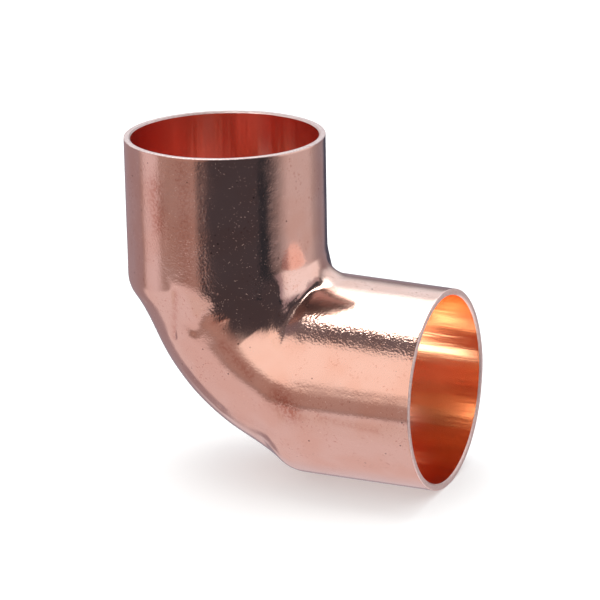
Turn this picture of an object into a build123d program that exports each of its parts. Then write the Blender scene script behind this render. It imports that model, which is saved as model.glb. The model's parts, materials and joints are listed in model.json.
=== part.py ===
"""Short-radius 90 degree copper elbow, for soldering onto 28.6 mm (1-1/8 inch) copper tube.

It is one piece of drawn copper tube. The tube is bent through a quarter turn, then each end
is pushed out over a punch to make a socket. The rounded shoulder left between a socket and
the bend is the tube stop. The two sockets meet at the throat, the inner corner of the bend.
The wall is equally thick all the way through.

Frame, in millimetres: the origin is the centre of the upright socket's tube stop. +Z runs
out of the upright socket's mouth, +X is the way the level socket faces, and Y = 0 is the
plane that both socket axes lie in.
"""

import os
from math import cos, radians, sin, tan

from build123d import *

# Driving dimensions
SOCKET_BORE = 28.70  # takes 28.575 mm tube, with a thin gap all round for the solder
SOCKET_DEPTH = 21.0  # straight bore, from the mouth down to the tube stop
CENTRE_TO_END = 36.0  # from the crossing of the two socket axes out to either mouth
WALL = 1.0

SHOULDER_RADIUS = 4.8  # outside rounding where a socket starts to close in
SHOULDER_ANGLE = 40.0  # degrees from the socket's axis, on the cone under that rounding
SHOULDER_FOOT = 11.2  # radius where that cone ends, out of sight inside the bend

BEND_RADIUS = 19.2  # the bend turns about an axis this far out from both socket axes
BEND_WIDTH = 29.6  # outside width of the bend, across its plane
THROAT_RADIUS = 4.4  # inside edge of the bend, measured from its turning axis
HEEL_RADIUS = 32.8  # outside edge of the bend, measured from the same axis

OUTER_BLEND = 2.5  # rounding of the hollow where the shoulders run into the bend
INNER_BLEND = 3.0  # the same line seen from inside, softened by the thickness of the wall
MOUTH_BEVEL = 0.22  # deburring cut round the inside of each mouth
MOUTH_ROUND = 0.12  # worn edge round the outside of each mouth

# Worked out from them
SOCKET_RADIUS = SOCKET_BORE / 2 + WALL
STOP_TO_CENTRE = CENTRE_TO_END - SOCKET_DEPTH
CROSSING = (0, 0, -STOP_TO_CENTRE)
TURNING_POINT = (BEND_RADIUS, 0, BEND_RADIUS - STOP_TO_CENTRE)
LEVEL_MOUTH_X = CENTRE_TO_END

# Each socket is the mirror image of the other in this plane
MITRE = Plane(origin=CROSSING, x_dir=(0, 1, 0), z_dir=(1, 0, -1))


def elbow_form(inset, blend):
    """The whole elbow as one solid shape, with its surface pulled in by the inset."""
    radius = SOCKET_RADIUS - inset
    rounding = SHOULDER_RADIUS - inset
    cone_radius = radius - rounding + rounding * cos(radians(SHOULDER_ANGLE))
    cone_height = -rounding * sin(radians(SHOULDER_ANGLE))
    foot_radius = SHOULDER_FOOT - inset
    foot_height = cone_height - (cone_radius - foot_radius) / tan(radians(SHOULDER_ANGLE))

    with BuildPart() as form:
        # Half of a socket with its shoulder, turned about the upright axis
        with BuildSketch(Plane.XZ):
            with BuildLine():
                Line((0, SOCKET_DEPTH), (radius, SOCKET_DEPTH))
                Line((radius, SOCKET_DEPTH), (radius, 0))
                CenterArc((radius - rounding, 0), rounding, 0, -SHOULDER_ANGLE)
                Line((cone_radius, cone_height), (foot_radius, foot_height))
                Line((foot_radius, foot_height), (0, foot_height))
                Line((0, foot_height), (0, SOCKET_DEPTH))
            make_face()
        revolve(axis=Axis.Z)
        mirror(about=MITRE)

        # The bend, slightly oval, turned through the quarter between the sockets
        with BuildSketch(Plane.XY.offset(TURNING_POINT[2])):
            with Locations((BEND_RADIUS - (HEEL_RADIUS + THROAT_RADIUS) / 2, 0)):
                Ellipse((HEEL_RADIUS - THROAT_RADIUS) / 2 - inset, BEND_WIDTH / 2 - inset)
        revolve(axis=Axis(TURNING_POINT, (0, -1, 0)), revolution_arc=90)

        # Sockets and bend meet along free-form creases, which drawn copper rounds off
        creases = form.edges().filter_by(GeomType.BSPLINE)
        fillet(creases, blend)
    return form.part


skin = elbow_form(0, OUTER_BLEND)
hollow = elbow_form(WALL, INNER_BLEND)

with BuildPart() as elbow_body:
    add(skin)
    add(hollow, mode=Mode.SUBTRACT)

    # The mouths: a flat end face, bevelled inside and barely rounded outside
    upright_rims = elbow_body.faces().sort_by(Axis.Z)[-1].edges().sort_by(SortBy.RADIUS)
    level_rims = elbow_body.faces().sort_by(Axis.X)[-1].edges().sort_by(SortBy.RADIUS)
    chamfer([upright_rims[0], level_rims[0]], MOUTH_BEVEL)
    outer_rims = elbow_body.edges().filter_by(GeomType.CIRCLE).filter_by(
        lambda rim: rim.radius > SOCKET_RADIUS - MOUTH_ROUND
        and (
            abs(rim.arc_center.Z - SOCKET_DEPTH) < MOUTH_ROUND
            or abs(rim.arc_center.X - LEVEL_MOUTH_X) < MOUTH_ROUND
        )
    )
    fillet(outer_rims, MOUTH_ROUND)

elbow_body.part.label = "elbow_body"

os.makedirs("parts", exist_ok=True)
export_step(elbow_body.part, "parts/elbow_body.step")
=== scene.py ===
"""Looks of the copper elbow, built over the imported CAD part.

The elbow is one piece of drawn copper tube. Its skin is a single closed grid of quads: rings
of points that run along the outside, over the level mouth's rim, back through the bore and
over the upright mouth's rim. The form is a smooth distance field of two sockets and a bend,
and the dents and waves that forming left in the metal are laid over it.

The grid is worked out in millimetres, with its origin where the two socket axes cross. It is
written in metres, in the frame of the CAD.
"""

import json
import math

import bpy
import numpy as np
from mathutils import Matrix, Vector, noise


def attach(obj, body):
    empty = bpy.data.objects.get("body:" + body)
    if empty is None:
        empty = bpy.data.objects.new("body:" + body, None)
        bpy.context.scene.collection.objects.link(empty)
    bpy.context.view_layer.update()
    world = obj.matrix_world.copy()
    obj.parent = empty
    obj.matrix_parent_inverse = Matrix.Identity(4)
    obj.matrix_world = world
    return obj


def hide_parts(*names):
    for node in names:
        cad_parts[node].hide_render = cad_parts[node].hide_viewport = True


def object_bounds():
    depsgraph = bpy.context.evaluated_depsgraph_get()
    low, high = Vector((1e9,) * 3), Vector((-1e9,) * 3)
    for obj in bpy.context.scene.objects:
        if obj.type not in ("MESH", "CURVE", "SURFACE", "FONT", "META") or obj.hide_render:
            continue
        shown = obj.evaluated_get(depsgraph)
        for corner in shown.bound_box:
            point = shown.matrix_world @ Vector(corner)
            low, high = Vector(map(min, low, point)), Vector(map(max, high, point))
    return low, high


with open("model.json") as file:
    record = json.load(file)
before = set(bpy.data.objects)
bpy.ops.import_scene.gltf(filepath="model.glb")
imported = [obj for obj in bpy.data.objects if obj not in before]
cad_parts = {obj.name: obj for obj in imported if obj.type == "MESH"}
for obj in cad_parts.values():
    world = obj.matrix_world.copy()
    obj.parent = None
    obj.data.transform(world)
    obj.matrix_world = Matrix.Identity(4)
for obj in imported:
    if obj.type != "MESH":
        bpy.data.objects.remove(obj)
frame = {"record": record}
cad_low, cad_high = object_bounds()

MM = 0.001

# From the frame
mounts = {mount["name"]: mount for mount in frame["record"]["mounts"]}
SOCKET_RADIUS = cad_high.y / MM
BORE_RADIUS = mounts["upright_socket"]["dims"]["r_mm"]
WALL = SOCKET_RADIUS - BORE_RADIUS
STOP_TO_CENTRE = mounts["level_socket"]["pos_m"][0] / MM
CENTRE_TO_END = cad_high.x / MM
CROSSING = np.array([0.0, 0.0, mounts["level_socket"]["pos_m"][2] / MM])

# The bend
BEND_RADIUS = 19.2
BEND_HALF_HEIGHT = 13.4  # in the plane of the bend
BEND_HALF_WIDTH = 14.85  # across it, halfway round
BEND_FLARE = 0.60  # how much wider it is on either side where it leaves a socket
FLARE_START, FLARE_END = 7.5, 17.5  # it grows between these distances out along the sockets

# The shoulders
SHOULDER_RADIUS = 4.8
SHOULDER_ANGLE = math.radians(32)  # from the socket's axis
SHOULDER_FOOT = 10.0  # how far past the stop the cone under a shoulder runs, inside the bend
SHOULDER_BLEND = 1.0  # softness of the hollow between a shoulder and the bend
LEAST_BLEND = 0.02  # what is left of that softness along the sockets
HOLLOW_START, HOLLOW_END = -0.5, 3.0  # it comes in between these distances past the stop
SHOULDER_LIFT = 1.5  # the upright shoulder starts this much early round the place below
LIFT_PLACE, LIFT_REACH = (3.2, -15.0), 5.5

# The throat, and the fold that runs down both flanks from it
THROAT_BLEND = 3.3  # softness of the inner corner
FOLD_BLEND = 1.8  # softness of the fold
TIGHTEN_START, TIGHTEN_END = 2.5, 5.5  # how far out from the middle plane the fold tightens
WIDEN_START, WIDEN_END = 7.5, 15.0  # and where it widens out again
FOOT_SLOPE, FOOT_TOP = 0.20, 18.4  # the upright socket spreads below this height by the throat
FOOT_SOFTNESS = 0.5
FOOT_START, FOOT_END = 10.6, 13.2  # the spread comes in between these places towards the throat

# The rims
RIM_ROUND = 0.12
RIM_TURNS = np.radians([30, 60, 90])  # rows of points round the worn outer edge
RIM_FLAT = 0.45  # a row of points on the flat of the rim, this far in from the outside
RIM_BEVEL = 0.22

# Leftovers of forming
WAVE_LENGTH, WAVE_HEIGHT = 9.0, 0.045
RIPPLE_LENGTH, RIPPLE_HEIGHT = 3.2, 0.010
SOCKET_CALM = 0.35  # the punched sockets keep this share of the waves
CALM_START, CALM_END = -2.0, 3.0  # the calm comes in between these distances out from the stop
THROAT_RISE = 0.4  # the level socket's top is this much high by the throat
MOUTH_LEAN = 0.4  # the level mouth's top and bottom edges are this far off square
LEVEL_START, LEVEL_END = -1.0, 2.0  # both come in between these distances out from the stop
FADE_START, FADE_END = 0.5, 3.0  # and fade out between these heights over the level socket
UPRIGHT_LEAN = 1.05  # the upright mouth is this much higher on the side below than opposite it
LEAN_SIDE = (0.41, -0.91)

# Dents, folds, stains and rough patches: one end, other end, width, height above the smooth
# form, how dark the tarnish on them is and how coarse the orange peel. On the stains, streaks
# and runs the tarnish is the metal's own; in the grooves, the nick, the dimple and along the
# heel lines it is painted shade.
MARKS = {
    "shoulder_dent": ((-0.4, -14.9, 12.2), (0.8, -14.9, 11.8), 1.8, -0.26, 0.0, 0.0),
    "oval_dimple": ((0.2, -14.7, 10.8), (0.6, -14.6, 10.0), 0.8, -0.13, 0.05, 0.0),
    "shoulder_dent_right": ((3.6, -14.9, 13.2), (5.0, -14.6, 13.0), 1.4, -0.18, 0.0, 0.0),
    "shoulder_groove": ((-1.5, -15.2, 15.6), (-2.9, -13.4, 8.0), 0.38, -0.22, 0.4, 0.0),
    "fold_nick": ((4.1, -14.4, 11.4), (6.0, -14.2, 12.1), 0.26, -0.04, 0.7, 0.0),
    "heel_line": ((-1.5, -12.2, 2.1), (4.0, -12.2, -3.0), 0.70, -0.05, 0.15, 0.0),
    "heel_line_end": ((4.0, -12.2, -3.0), (13.0, -14.2, -5.0), 0.60, -0.04, 0.15, 0.0),
    "heel_wrinkle": ((13.8, -8.6, -11.6), (12.2, -11.6, -8.6), 0.70, 0.06, 0.0, 0.0),
    "foot_wrinkle": ((11.6, -9.4, -9.8), (10.4, -11.6, -7.6), 0.60, -0.06, 0.0, 0.0),
    "red_streak": ((5.7, -14.7, 8.2), (10.4, -14.9, 3.9), 0.60, 0.0, 0.6, 0.4),
    "brown_run": ((22.0, -15.4, -1.0), (31.0, -15.3, -2.0), 0.45, 0.0, 0.3, 0.3),
    "left_dent": ((-11.3, -10.4, 20.5), (-11.5, -10.2, 18.0), 1.8, -0.28, 0.0, 0.0),
    "red_stain": ((15.4, -15.3, 1.2), (17.2, -15.4, -0.6), 1.3, 0.0, 0.95, 0.7),
    "warm_patch": ((-4.9, -14.5, 31.0), (-4.4, -14.7, 25.5), 1.2, 0.0, 0.70, 0.5),
    "warm_run": ((0.2, -15.3, 35.0), (0.4, -15.3, 18.0), 0.9, 0.0, 0.38, 0.3),
    "coarse_edge": ((-5.8, -14.2, 35.0), (-5.8, -14.2, 21.0), 0.9, 0.0, 0.0, 0.9),
    "coarse_left": ((-11.4, -10.3, 35.0), (-11.4, -10.3, 17.0), 2.2, 0.0, 0.0, 0.5),
    "coarse_crown": ((18.5, -11.0, 11.0), (35.5, -11.4, 10.6), 1.5, 0.0, 0.0, 1.5),
    "coarse_side": ((3.4, -15.0, 22.0), (5.0, -14.5, 13.0), 1.5, 0.0, 0.0, 0.8),
}

# The grid
COLUMNS = 256
SOCKET_ROWS = 48
BEND_ROWS = 192
BORE_SOCKET_ROWS = 14
BORE_BEND_ROWS = 50
AROUND = np.linspace(0, 2 * math.pi, COLUMNS, endpoint=False)  # angles from the throat side
SHORTEST_RAY, LONGEST_RAY = 1.0, 19.0
HALVINGS = 30
SHARP_ANGLE = math.radians(35)

OUTSIDE, BORE, RIM = 0, 1, 2  # material of each face
X, Z = 0, 2  # the axes that the mouths face along


# Form

def ease(value, start, stop):
    """0 before start, 1 after stop and smooth in between. Start may be the larger of the two."""
    share = np.clip((value - start) / (stop - start), 0, 1)
    return share * share * (3 - 2 * share)


def bell(distance, width):
    """1 at no distance, falling to almost nothing at three widths."""
    return np.exp(-0.5 * (distance / width) ** 2)


def smooth_minimum(a, b, reach):
    """The lower of two distances, blended where they are within reach of each other."""
    share = np.maximum(reach - np.abs(a - b), 0) / reach
    return np.minimum(a, b) - share * share * reach / 4


def socket_distance(across, side, along, lift=0.0):
    """Distance to a socket whose axis runs along, with its shoulder started early by the lift."""
    depth = np.clip(STOP_TO_CENTRE + lift - along, 0, None)
    turn_depth = SHOULDER_RADIUS * math.sin(SHOULDER_ANGLE)
    on_turn = np.minimum(depth, turn_depth)
    turn = SHOULDER_RADIUS - np.sqrt(SHOULDER_RADIUS**2 - on_turn**2)
    cone = np.clip(depth - turn_depth, 0, None) * math.tan(SHOULDER_ANGLE)
    slope = on_turn / SHOULDER_RADIUS
    distance = (np.hypot(across, side) - (SOCKET_RADIUS - turn - cone)) * np.sqrt(1 - slope**2)
    return np.maximum(distance, STOP_TO_CENTRE - along - SHOULDER_FOOT)


def bend_distance(x, y, z):
    """Distance to the bend, a quarter ring whose ends run on straight into the sockets."""
    offset = np.hypot(x - BEND_RADIUS, z - BEND_RADIUS) - BEND_RADIUS
    offset = np.where(z >= BEND_RADIUS, x, np.where(x >= BEND_RADIUS, z, offset))
    flare = BEND_FLARE * ease(np.maximum(x, z), FLARE_START, FLARE_END)
    half_width = BEND_HALF_WIDTH + flare
    share = np.hypot(offset / BEND_HALF_HEIGHT, y / half_width)
    slope = np.hypot(offset / BEND_HALF_HEIGHT**2, y / half_width**2)
    return share * (share - 1) / slope


def skin_distance(points):
    """Distance from the elbow's outside surface."""
    x, y, z = points[..., 0], points[..., 1], points[..., 2]
    lift = SHOULDER_LIFT * bell(np.hypot(x - LIFT_PLACE[0], y - LIFT_PLACE[1]), LIFT_REACH)
    upright = socket_distance(x, y, z, lift)
    level = socket_distance(z, y, x)

    below = FOOT_TOP - z
    spread = FOOT_SLOPE * (below + np.hypot(below, FOOT_SOFTNESS)) / 2
    upright = upright - spread * ease(x, FOOT_START, FOOT_END)

    out = np.abs(y)
    tightness = ease(out, TIGHTEN_START, TIGHTEN_END) * ease(out, WIDEN_END, WIDEN_START)
    fold_blend = THROAT_BLEND + (FOLD_BLEND - THROAT_BLEND) * tightness
    sockets = smooth_minimum(upright, level, fold_blend)

    past_stop = ease(STOP_TO_CENTRE - np.maximum(x, z), HOLLOW_START, HOLLOW_END)
    hollow_blend = LEAST_BLEND + SHOULDER_BLEND * past_stop
    return smooth_minimum(sockets, bend_distance(x, y, z), hollow_blend)


def marks_on(points):
    """Height, tarnish and coarseness that the named marks give each point. The tarnish is painted
    shade in the folds, the dimple and the heel lines.
    """
    height, tarnish_and_shade, coarseness = np.zeros((3, len(points)))
    for start, stop, width, rise, darkness, roughening in MARKS.values():
        start, stop = np.array(start), np.array(stop)
        course = stop - start
        share = np.clip((points - start) @ course / (course @ course), 0, 1)
        distance = np.linalg.norm(points - start - share[:, None] * course, axis=1)
        strength = bell(distance, width)
        height += rise * strength
        tarnish_and_shade = np.maximum(tarnish_and_shade, darkness * strength)
        coarseness = np.maximum(coarseness, roughening * strength)
    return height, tarnish_and_shade, coarseness


def waves_height(points):
    """Height of the low waves left all over the metal, calmer along the sockets."""
    out = np.maximum(points[:, 0], points[:, 2]) - STOP_TO_CENTRE
    calm = 1 - (1 - SOCKET_CALM) * ease(out, CALM_START, CALM_END)
    waves = [noise.noise(Vector(point) / WAVE_LENGTH) for point in points]
    ripples = [noise.noise(Vector(point) / RIPPLE_LENGTH) for point in points]
    return calm * (WAVE_HEIGHT * np.array(waves) + RIPPLE_HEIGHT * np.array(ripples))


# Grid

def centre_line(mouth_inset, socket_rows, bend_rows):
    """Ring centres from the upright mouth to the level one, the way to the throat from each, and
    each one's place along the tube."""
    reaches = np.linspace(CENTRE_TO_END - mouth_inset, BEND_RADIUS, socket_rows, endpoint=False)
    turns = np.linspace(0, math.pi / 2, bend_rows)
    to_throat = np.stack([np.cos(turns), 0 * turns, np.sin(turns)], -1)
    upright = reaches[:, None] * (0, 0, 1)
    bend = BEND_RADIUS * ((1, 0, 1) - to_throat)
    level = reaches[::-1, None] * (1, 0, 0)
    centres = np.concatenate([upright, bend, level])

    over_upright = np.tile((1.0, 0.0, 0.0), (socket_rows, 1))
    over_level = np.tile((0.0, 0.0, 1.0), (socket_rows, 1))
    throatward = np.concatenate([over_upright, to_throat, over_level])

    straight = CENTRE_TO_END - BEND_RADIUS
    whole = 2 * straight + BEND_RADIUS * math.pi / 2
    from_mouth = CENTRE_TO_END - reaches
    round_bend = straight + BEND_RADIUS * turns
    along = np.concatenate([from_mouth, round_bend, whole - from_mouth[::-1]])
    return centres, throatward, along


def wall_rings(depth, mouth_inset, socket_rows, bend_rows):
    """Rings of points on the surface a depth under the outside, with their place along."""
    centres, throatward, along = centre_line(mouth_inset, socket_rows, bend_rows)
    sideways = np.sin(AROUND)[:, None] * (0, 1, 0)
    rays = throatward[:, None] * np.cos(AROUND)[:, None] + sideways
    near = np.full(rays.shape[:2], SHORTEST_RAY)
    far = np.full(rays.shape[:2], LONGEST_RAY)
    for _ in range(HALVINGS):
        middle = (near + far) / 2
        inside = skin_distance(centres[:, None] + rays * middle[..., None]) < -depth
        near = np.where(inside, middle, near)
        far = np.where(inside, far, middle)
    surface = (centres[:, None] + rays * far[..., None]).reshape(-1, 3)
    height, _, _ = marks_on(surface)
    relief = (height + waves_height(surface)).reshape(far.shape)
    return centres[:, None] + rays * (far + relief)[..., None], along


def rim_rings(outer, inner, axis):
    """Rings over a rim: a worn outer edge, a flat and the start of the bevel into the bore."""
    insets = [*(RIM_ROUND * (1 - np.cos(RIM_TURNS))), RIM_FLAT, WALL - RIM_BEVEL]
    drops = [*(RIM_ROUND * (1 - np.sin(RIM_TURNS))), 0, 0]
    rings = []
    for inset, drop in zip(insets, drops):
        ring = outer + (inner - outer) * inset / WALL
        ring[:, axis] = CENTRE_TO_END - drop
        rings.append(ring)
    return np.array(rings)


def elbow_grid():
    """All the rings of the skin, each one's place along the tube and the material after each."""
    outside, outside_along = wall_rings(0, RIM_ROUND, SOCKET_ROWS, BEND_ROWS)
    bore, bore_along = wall_rings(WALL, RIM_BEVEL, BORE_SOCKET_ROWS, BORE_BEND_ROWS)
    level_rim = rim_rings(outside[-1], bore[-1], X)
    upright_rim = rim_rings(outside[0], bore[0], Z)[::-1]
    grid = np.concatenate([outside, level_rim, bore[::-1], upright_rim])

    rim_rows = len(level_rim)
    along = np.concatenate([
        outside_along,
        np.full(rim_rows, outside_along[-1]),
        bore_along[::-1],
        np.full(rim_rows, outside_along[0]),
    ])

    ring_material = np.full(len(grid), RIM)
    ring_material[: len(outside) - 1] = OUTSIDE
    bore_start = len(outside) + rim_rows
    ring_material[bore_start : bore_start + len(bore) - 1] = BORE
    return grid, along, ring_material


def settle(grid):
    """The level socket is a little high by the throat, and both mouths lean."""
    x, y, z = grid[..., 0].copy(), grid[..., 1], grid[..., 2].copy()
    socket_length = CENTRE_TO_END - STOP_TO_CENTRE
    under_throat = ease(z - SOCKET_RADIUS, FADE_END, FADE_START)
    on_level = ease(x - STOP_TO_CENTRE, LEVEL_START, LEVEL_END) * under_throat
    out = np.clip((x - STOP_TO_CENTRE) / socket_length, 0, 1)
    grid[..., 0] = x - MOUTH_LEAN * out * on_level * z / SOCKET_RADIUS

    rise = THROAT_RISE * (1 - out) * on_level * np.clip(z, 0, None) / SOCKET_RADIUS
    up = np.clip((z - STOP_TO_CENTRE) / socket_length, 0, 1)
    towards_side = (LEAN_SIDE[0] * x + LEAN_SIDE[1] * y) / SOCKET_RADIUS
    grid[..., 2] = z + rise + UPRIGHT_LEAN * up * (1 + towards_side) / 2


def store(mesh, name, kind, field, values):
    """Keeps a value for each point of the mesh, which the materials read."""
    attribute = mesh.attributes.new(name, kind, "POINT")
    attribute.data.foreach_set(field, values.astype(np.float32).ravel())


def build_elbow():
    """The elbow's mesh, which stands for the CAD piece."""
    grid, along, ring_material = elbow_grid()
    _, tarnish_and_shade, coarseness = marks_on(grid.reshape(-1, 3))
    settle(grid)

    index = np.arange(len(grid) * COLUMNS).reshape(-1, COLUMNS)
    beside = np.roll(index, -1, axis=1)
    ahead = np.roll(index, -1, axis=0)
    faces = np.stack([index, ahead, np.roll(beside, -1, axis=0), beside], -1).reshape(-1, 4)

    mesh = bpy.data.meshes.new("copper_elbow")
    mesh.from_pydata(((grid + CROSSING) * MM).reshape(-1, 3).tolist(), [], faces.tolist())
    mesh.polygons.foreach_set("material_index", np.repeat(ring_material, COLUMNS))
    mesh.shade_smooth()
    mesh.set_sharp_from_angle(angle=SHARP_ANGLE)

    # The skin as if the tube were straight again, so that drawing marks run along it
    straightened = np.empty(grid.shape)
    straightened[..., 0] = SOCKET_RADIUS * np.cos(AROUND)
    straightened[..., 1] = SOCKET_RADIUS * np.sin(AROUND)
    straightened[..., 2] = along[:, None]
    store(mesh, "straightened", "FLOAT_VECTOR", "vector", straightened)
    # Tarnish on the stains, and painted shade in the folds, dimple and heel lines
    store(mesh, "tarnish_and_shade", "FLOAT", "value", tarnish_and_shade)
    store(mesh, "coarseness", "FLOAT", "value", coarseness)

    elbow = bpy.data.objects.new("copper_elbow", mesh)
    bpy.context.scene.collection.objects.link(elbow)
    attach(elbow, "root")
    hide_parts("elbow_body")
    return elbow


# Node helpers

MIX_BASE, MIX_TOP, MIX_RESULT = 6, 7, 2  # the colour sockets of a mix node


def add_node(tree, kind, inputs=(), **settings):
    """Adds a node. Inputs are (socket, value) pairs; a value may be another node's output."""
    node = tree.nodes.new(kind)
    for name, value in settings.items():
        setattr(node, name, value)
    for socket, value in inputs:
        if isinstance(value, bpy.types.NodeSocket):
            tree.links.new(value, node.inputs[socket])
        else:
            node.inputs[socket].default_value = value
    return node


def calculate(tree, operation, a, b=0.0):
    return add_node(tree, "ShaderNodeMath", [(0, a), (1, b)], operation=operation).outputs[0]


def combine(tree, operation, a, b):
    """The node for a sum on two vectors."""
    return add_node(tree, "ShaderNodeVectorMath", [(0, a), (1, b)], operation=operation)


def attribute_node(tree, name):
    """The node that reads what store() kept under a name."""
    return add_node(tree, "ShaderNodeAttribute", attribute_name=name)


def smooth_step(tree, value, start, stop, low=0.0, high=1.0):
    """Low before start and high after stop. Start may be the larger of the two."""
    inputs = [
        ("Value", value),
        ("From Min", start),
        ("From Max", stop),
        ("To Min", low),
        ("To Max", high),
    ]
    return add_node(tree, "ShaderNodeMapRange", inputs, interpolation_type="SMOOTHSTEP").outputs[0]


def mix_colours(tree, share, base, top):
    """The base where share is 0 and the top where it is 1. A colour may be a node's output."""
    inputs = [("Factor", share)]
    for socket, colour in ((MIX_BASE, base), (MIX_TOP, top)):
        is_output = isinstance(colour, bpy.types.NodeSocket)
        inputs.append((socket, colour if is_output else (*colour, 1)))
    return add_node(tree, "ShaderNodeMix", inputs, data_type="RGBA").outputs[MIX_RESULT]


def noise_field(tree, place, length, stretch=1, detail=2.0):
    """Cloudy noise from 0 to 1, with features about a length in mm, stretched along the tube."""
    scale = (1 / length, 1 / length, 1 / (length * stretch))
    scaled = combine(tree, "MULTIPLY", place, scale).outputs[0]
    inputs = [("Vector", scaled), ("Scale", 1.0), ("Detail", detail)]
    return add_node(tree, "ShaderNodeTexNoise", inputs).outputs["Fac"]


def patches(tree, place, patch, low=0.0, high=1.0, stretch=1):
    """Low between patches and high on them. The kinds of patch are listed below."""
    size, edge, core = patch
    return smooth_step(tree, noise_field(tree, place, size, stretch), edge, core, low, high)


def specks(tree, place, speck):
    """Round specks, one to a cell, and 0 between them. The kinds of speck are listed below."""
    per_mm, edge, core, strength = speck
    inputs = [("Vector", place), ("Scale", per_mm)]
    cells = add_node(tree, "ShaderNodeTexVoronoi", inputs, feature="F1")
    return smooth_step(tree, cells.outputs["Distance"], edge, core, 0.0, strength)


def bump(tree, height, depth, normal=None):
    """Raises the surface by a depth in mm where the height is 1."""
    inputs = [("Height", height), ("Distance", depth * MM), ("Strength", 1.0)]
    if normal is not None:
        inputs.append(("Normal", normal))
    return add_node(tree, "ShaderNodeBump", inputs).outputs[0]


# Copper

BRIGHT_COPPER = (0.955, 0.645, 0.545)
RED_COPPER = (0.93, 0.585, 0.475)
# Brown of the oxide flecks and the tarnish, also used for the painted shade in the folds
OXIDE_AND_SHADE = (0.62, 0.25, 0.18)
PIT = (0.16, 0.09, 0.08)

# The two colours that streaks or grain alternate between, at either end of the tube. The
# upright end's pair gives way to the level end's between these places, in mm along the tube.
UPRIGHT_BORE = (0.93, 0.60, 0.53), (0.90, 0.53, 0.47)
LEVEL_BORE = (0.97, 0.69, 0.50), (0.95, 0.63, 0.45)
UPRIGHT_RIM = (0.72, 0.53, 0.50), (0.88, 0.72, 0.68)
LEVEL_RIM = (0.86, 0.60, 0.54), (0.95, 0.76, 0.71)
CHANGE_START, CHANGE_END = 20.0, 50.0

# Patches of noise: size in mm, and the values of the noise where a patch starts and is full
RED_PATCH = (6.0, 0.35, 0.70)
FRECKLE = (0.5, 0.40, 0.60)
FLECK = (0.45, 0.58, 0.70)
FLECK_GROUP = (4.0, 0.45, 0.65)
PIT_GROUP = (2.0, 0.45, 0.60)
DUST_GROUP = (1.2, 0.42, 0.60)
WEAR = (3.0, 0.30, 0.75)
PEEL_GROUP = (5.0, 0.40, 0.62)
STREAK = (2.6, 0.35, 0.65)
GRAIN_START, GRAIN_END = 0.35, 0.65

# Specks: how many cells to a mm, edge and core of a speck in cells, and strength
PIT_SPECK = (0.62, 0.11, 0.06, 0.8)
DUST_SPECK = (2.4, 0.24, 0.06, 0.34)

# The freckles break up the tarnish and the painted shade in the folds alike
BETWEEN_FRECKLES = 0.45  # share of the tarnish left between its freckles
FLECK_STRENGTH = 0.4
LEAST_PEEL, MOST_PEEL = 0.10, 0.45  # strength of the orange peel between its groups and on them

# Fine relief: size and depth in mm. A stretch is how many times longer it is along the tube
PEEL_SIZE, PEEL_DEPTH = 0.34, 0.026
SWELL_SIZE, SWELL_DEPTH = 1.3, 0.012
DRAG_SIZE, DRAG_DEPTH, DRAG_STRETCH = 0.35, 0.0015, 40
BORE_DRAG_SIZE, BORE_DRAG_DEPTH, BORE_DRAG_STRETCH = 1.1, 0.05, 14
RIM_GRAIN_SIZE, RIM_GRAIN_DEPTH = 0.3, 0.05
WEAR_STRETCH = 3
STREAK_STRETCH = 8

POLISHED, WORN = 0.10, 0.17  # roughness of the outside
BORE_ROUGHNESS = 0.17
RIM_ROUGHNESS = 0.36
RIM_METALLIC = 0.8


def start_material(name):
    """A new plain metal, with its node tree and shader."""
    material = bpy.data.materials.new(name)
    material.use_nodes = True
    tree = material.node_tree
    shader = tree.nodes["Principled BSDF"]
    shader.inputs["Metallic"].default_value = 1
    return material, tree, shader


def place_on_tube(tree):
    """Where a point would be if the tube were straight, in mm, with the tube running along z."""
    return attribute_node(tree, "straightened").outputs["Vector"]


def place_from_crossing(tree):
    """Where a point is from the crossing of the socket axes, in mm."""
    place = add_node(tree, "ShaderNodeTexCoord").outputs["Object"]
    inputs = [(0, place), ("Scale", 1 / MM)]
    place = add_node(tree, "ShaderNodeVectorMath", inputs, operation="SCALE").outputs[0]
    return combine(tree, "ADD", place, tuple(-CROSSING)).outputs[0]


def two_ended_colour(tree, share, upright_pair, level_pair):
    """Mixes each end's pair of colours by the share, and goes from one end to the other."""
    along = add_node(tree, "ShaderNodeSeparateXYZ", [(0, place_on_tube(tree))]).outputs[2]
    towards_level = smooth_step(tree, along, CHANGE_START, CHANGE_END)
    upright = mix_colours(tree, share, *upright_pair)
    level = mix_colours(tree, share, *level_pair)
    return mix_colours(tree, towards_level, upright, level)


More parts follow.
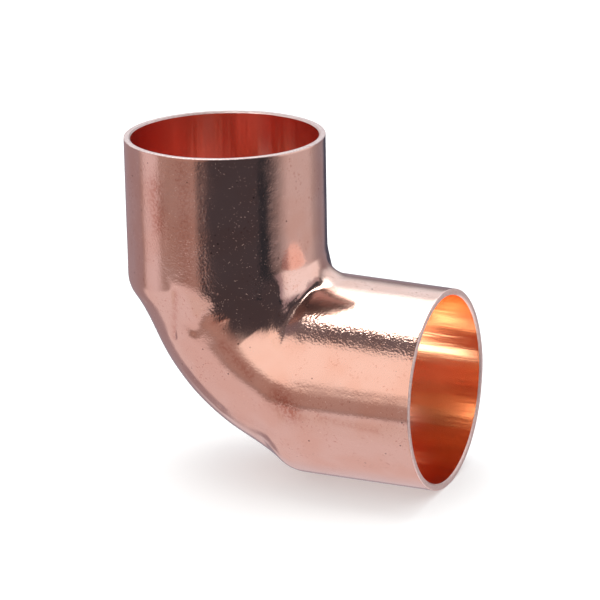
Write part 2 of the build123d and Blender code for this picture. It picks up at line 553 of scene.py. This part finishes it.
def outside_copper():
    material, tree, shader = start_material("copper_outside")
    straight = place_on_tube(tree)
    place = place_from_crossing(tree)

    # Tint
    colour = mix_colours(tree, patches(tree, place, RED_PATCH), BRIGHT_COPPER, RED_COPPER)

    # Tarnish on the stains and painted shade in the folds, dimple and heel lines, broken up into
    # freckles
    tarnish_and_shade = attribute_node(tree, "tarnish_and_shade").outputs["Fac"]
    freckles = patches(tree, place, FRECKLE, BETWEEN_FRECKLES, 1.0)
    colour = mix_colours(tree, calculate(tree, "MULTIPLY", tarnish_and_shade, freckles), colour, OXIDE_AND_SHADE)

    # Rust-brown flecks, in groups
    flecks = patches(tree, place, FLECK)
    fleck_groups = patches(tree, place, FLECK_GROUP, 0.0, FLECK_STRENGTH)
    colour = mix_colours(tree, calculate(tree, "MULTIPLY", flecks, fleck_groups), colour, OXIDE_AND_SHADE)

    # Pits, in groups
    pits = specks(tree, place, PIT_SPECK)
    pits = calculate(tree, "MULTIPLY", pits, patches(tree, place, PIT_GROUP))
    colour = mix_colours(tree, pits, colour, PIT)
    tree.links.new(colour, shader.inputs["Base Color"])

    # Pale dust, which isn't metal
    dust = specks(tree, place, DUST_SPECK)
    dust = calculate(tree, "MULTIPLY", dust, patches(tree, place, DUST_GROUP))
    tree.links.new(calculate(tree, "SUBTRACT", 1.0, dust), shader.inputs["Metallic"])

    # Wear
    roughness = patches(tree, straight, WEAR, POLISHED, WORN, WEAR_STRETCH)
    tree.links.new(roughness, shader.inputs["Roughness"])

    # Orange peel, strongest in groups and on the rough marks, over soft swells and drawing marks
    coarseness = attribute_node(tree, "coarseness").outputs["Fac"]
    strength = patches(tree, place, PEEL_GROUP, LEAST_PEEL, MOST_PEEL)
    strength = calculate(tree, "ADD", strength, coarseness)
    peel = noise_field(tree, place, PEEL_SIZE, detail=1.0)
    normal = bump(tree, calculate(tree, "MULTIPLY", peel, strength), PEEL_DEPTH)
    swell = noise_field(tree, place, SWELL_SIZE, detail=1.0)
    normal = bump(tree, swell, SWELL_DEPTH, normal)
    drag = noise_field(tree, straight, DRAG_SIZE, DRAG_STRETCH, detail=1.0)
    normal = bump(tree, drag, DRAG_DEPTH, normal)
    tree.links.new(normal, shader.inputs["Normal"])
    return material


def bore_copper():
    material, tree, shader = start_material("copper_bore")
    straight = place_on_tube(tree)
    streaks = patches(tree, straight, STREAK, stretch=STREAK_STRETCH)
    colour = two_ended_colour(tree, streaks, UPRIGHT_BORE, LEVEL_BORE)
    tree.links.new(colour, shader.inputs["Base Color"])
    shader.inputs["Roughness"].default_value = BORE_ROUGHNESS
    drag = noise_field(tree, straight, BORE_DRAG_SIZE, BORE_DRAG_STRETCH)
    tree.links.new(bump(tree, drag, BORE_DRAG_DEPTH), shader.inputs["Normal"])
    return material


def rim_copper():
    material, tree, shader = start_material("copper_rim")
    grain = noise_field(tree, place_from_crossing(tree), RIM_GRAIN_SIZE)
    lightness = smooth_step(tree, grain, GRAIN_START, GRAIN_END)
    colour = two_ended_colour(tree, lightness, UPRIGHT_RIM, LEVEL_RIM)
    tree.links.new(colour, shader.inputs["Base Color"])
    shader.inputs["Roughness"].default_value = RIM_ROUGHNESS
    shader.inputs["Metallic"].default_value = RIM_METALLIC
    tree.links.new(bump(tree, grain, RIM_GRAIN_DEPTH), shader.inputs["Normal"])
    return material


# Studio

# Soft panels painted one over another on a sphere round the elbow. Azimuth 0 is the -Y side
# and 90 the +X side; elevation is above the horizon. Left and right edge, lowest and highest
# edge, softness of the sides and of the top and bottom, lean to the right in degrees for each
# degree of elevation, and the light's colour.
PANELS = {
    "low_wall": (-200, 12, -19, 4, 6, 5, 0.0, (0.41, 0.285, 0.26)),
    "heel_shade": (-150, -78, -48, -4, 5, 4, 0.6, (0.35, 0.28, 0.31)),
    "heel_floor": (-160, -123, -60, -36, 5, 5, 0.0, (0.67, 0.60, 0.64)),
    "left_low_light": (-84, -58, -24, -4, 6, 5, 0.0, (0.68, 0.58, 0.61)),
    "left_wall": (-150, -60, 3, 60, 8, 8, 0.0, (0.60, 0.56, 0.56)),
    "back_wall": (-205, -118, 14, 44, 14, 12, 0.0, (0.88, 0.96, 1.04)),
    "behind_low": (-205, -140, -34, 6, 10, 8, 0.0, (0.32, 0.29, 0.34)),
    "right_back": (146, 170, -34, 24, 8, 8, 0.0, (0.30, 0.26, 0.29)),
    "right_edge": (176, 198, -34, 2, 5, 5, 0.0, (0.075, 0.08, 0.115)),
    "key": (-64, 34, 4, 48, 6, 5, 0.0, (1.02, 0.87, 0.81)),
    "overhead_back": (-200, -100, 44, 96, 12, 9, 0.0, (2.6, 3.0, 3.2)),
    "overhead": (-190, -60, 64, 96, 10, 4, 0.0, (6.6, 6.6, 6.4)),
    "above": (-92, 60, 52, 64, 8, 4, 0.0, (0.15, 0.13, 0.145)),
    "key_top": (-18, 24, 40, 54, 6, 2, 0.0, (1.0, 0.84, 0.76)),
    "right_box_low": (90, 146, -36, -4, 14, 8, 0.0, (0.56, 0.49, 0.50)),
    "right_floor": (66, 150, -90, -36, 8, 6, 0.0, (1.10, 1.02, 1.00)),
    "camera_side": (5, 83, -44, 100, 7, 4, 0.43, (0.058, 0.055, 0.066)),
    "dark_strip": (70, 83, -52, 100, 3, 4, 0.43, (0.026, 0.032, 0.042)),
    "floor_corner": (-30, 7, -60, -26, 4, 4, 0.0, (0.66, 0.55, 0.54)),
    "high_right": (68, 135, 38, 62, 5, 4, 0.0, (0.45, 0.39, 0.42)),
    "above_left": (-84, -52, 44, 60, 6, 3, 0.0, (0.14, 0.12, 0.15)),
    "strip_glow": (74, 100, -8, 30, 3, 5, 0.0, (0.36, 0.31, 0.35)),
    "right_box": (88, 146, -10, 46, 8, 6, 0.0, (0.94, 0.92, 0.96)),
}
FLOOR_LIGHT = (0.70, 0.60, 0.62)  # what the metal mirrors from below, in place of the floor
ROOM_LIGHT = (0.10, 0.09, 0.10)
FLOOR_EDGE, FLOOR_SOFTNESS = -20, 3  # elevation where that begins
DIFFUSE_LIGHT = (1.06, 1.06, 1.06)

FLOOR_HALF_SIZE = 3.0  # in metres
FLOOR_COLOUR = (0.68, 0.68, 0.68)
FLOOR_ROUGHNESS = 0.9
FLOOR_GLOW = 0.35

# The camera's direction from the crossing, azimuth and elevation as above, and its roll
CAMERA_AZIMUTH, CAMERA_ELEVATION, CAMERA_ROLL = 24.09, 18.77, -1.03
CAMERA_DISTANCE = 531.9
CAMERA_RIGHT, CAMERA_UP = 10.83, 9.42  # how far it stands off the line through the crossing
LENS, SENSOR = 205.7, 36

BOUNCES = 24  # enough for light to get in and out of the bores


def paint_panel(tree, light, direction, elevation, panel):
    """Paints one soft panel over the light so far."""
    left, right, lowest, highest, side_softness, height_softness, lean, colour = panel
    facing = math.radians((left + right) / 2)
    ahead = combine(tree, "DOT_PRODUCT", direction, (math.sin(facing), -math.cos(facing), 0))
    across = combine(tree, "DOT_PRODUCT", direction, (math.cos(facing), math.sin(facing), 0))
    turn = calculate(tree, "ARCTAN2", across.outputs["Value"], ahead.outputs["Value"])
    turn = calculate(tree, "DEGREES", turn)
    turn = calculate(tree, "SUBTRACT", turn, calculate(tree, "MULTIPLY", elevation, lean))
    turn = calculate(tree, "ABSOLUTE", turn)
    half = (right - left) / 2
    beside = smooth_step(tree, turn, half + side_softness, half - side_softness)
    above = smooth_step(tree, elevation, lowest - height_softness, lowest + height_softness)
    below = smooth_step(tree, elevation, highest + height_softness, highest - height_softness)
    share = calculate(tree, "MULTIPLY", beside, calculate(tree, "MULTIPLY", above, below))
    return mix_colours(tree, share, light, colour)


def build_world():
    """The light all round: panels for the metal to mirror, and plain white for the floor."""
    world = bpy.data.worlds.new("studio")
    world.use_nodes = True
    tree = world.node_tree
    tree.nodes.clear()
    direction = add_node(tree, "ShaderNodeTexCoord").outputs["Generated"]
    upward = add_node(tree, "ShaderNodeSeparateXYZ", [(0, direction)]).outputs[2]
    elevation = calculate(tree, "DEGREES", calculate(tree, "ARCSINE", upward))
    floor = smooth_step(tree, elevation, FLOOR_EDGE + FLOOR_SOFTNESS, FLOOR_EDGE - FLOOR_SOFTNESS)
    light = mix_colours(tree, floor, ROOM_LIGHT, FLOOR_LIGHT)
    for panel in PANELS.values():
        light = paint_panel(tree, light, direction, elevation, panel)
    plain = add_node(tree, "ShaderNodeLightPath").outputs["Is Diffuse Ray"]
    light = mix_colours(tree, plain, light, DIFFUSE_LIGHT)
    background = add_node(tree, "ShaderNodeBackground", [("Color", light)])
    add_node(tree, "ShaderNodeOutputWorld", [("Surface", background.outputs[0])])
    bpy.context.scene.world = world


def build_floor():
    """A plain pale floor under the elbow, which the metal doesn't mirror."""
    near, far = -FLOOR_HALF_SIZE, FLOOR_HALF_SIZE
    corners = [(x, y, cad_low.z) for x, y in ((near, near), (far, near), (far, far), (near, far))]
    mesh = bpy.data.meshes.new("floor")
    mesh.from_pydata(corners, [], [(0, 1, 2, 3)])
    material = bpy.data.materials.new("floor")
    material.use_nodes = True
    shader = material.node_tree.nodes["Principled BSDF"]
    shader.inputs["Base Color"].default_value = (*FLOOR_COLOUR, 1)
    shader.inputs["Roughness"].default_value = FLOOR_ROUGHNESS
    shader.inputs["Emission Color"].default_value = (1, 1, 1, 1)
    shader.inputs["Emission Strength"].default_value = FLOOR_GLOW
    mesh.materials.append(material)
    floor = bpy.data.objects.new("floor", mesh)
    floor.visible_glossy = False
    bpy.context.scene.collection.objects.link(floor)


def place_camera():
    azimuth = math.radians(CAMERA_AZIMUTH)
    elevation = math.radians(CAMERA_ELEVATION)
    roll = math.radians(CAMERA_ROLL)
    level = math.cos(elevation)
    back = Vector((math.sin(azimuth) * level, -math.cos(azimuth) * level, math.sin(elevation)))
    right = Vector((math.cos(azimuth), math.sin(azimuth), 0))
    up = back.cross(right)
    right_rolled = math.cos(roll) * right + math.sin(roll) * up
    up_rolled = -math.sin(roll) * right + math.cos(roll) * up
    place = Vector(CROSSING) + back * CAMERA_DISTANCE
    place += right_rolled * CAMERA_RIGHT + up_rolled * CAMERA_UP

    camera_data = bpy.data.cameras.new("camera")
    camera_data.lens = LENS
    camera_data.sensor_width = SENSOR
    camera = bpy.data.objects.new("camera", camera_data)
    turn = Matrix((right_rolled, up_rolled, back)).transposed().to_4x4()
    camera.matrix_world = Matrix.Translation(place * MM) @ turn
    bpy.context.scene.collection.objects.link(camera)
    bpy.context.scene.camera = camera


elbow = build_elbow()
for material in (outside_copper(), bore_copper(), rim_copper()):
    elbow.data.materials.append(material)
build_world()
build_floor()
place_camera()
bpy.context.scene.cycles.max_bounces = BOUNCES
bpy.context.scene.cycles.glossy_bounces = BOUNCES
bpy.context.scene.view_settings.view_transform = "Standard"
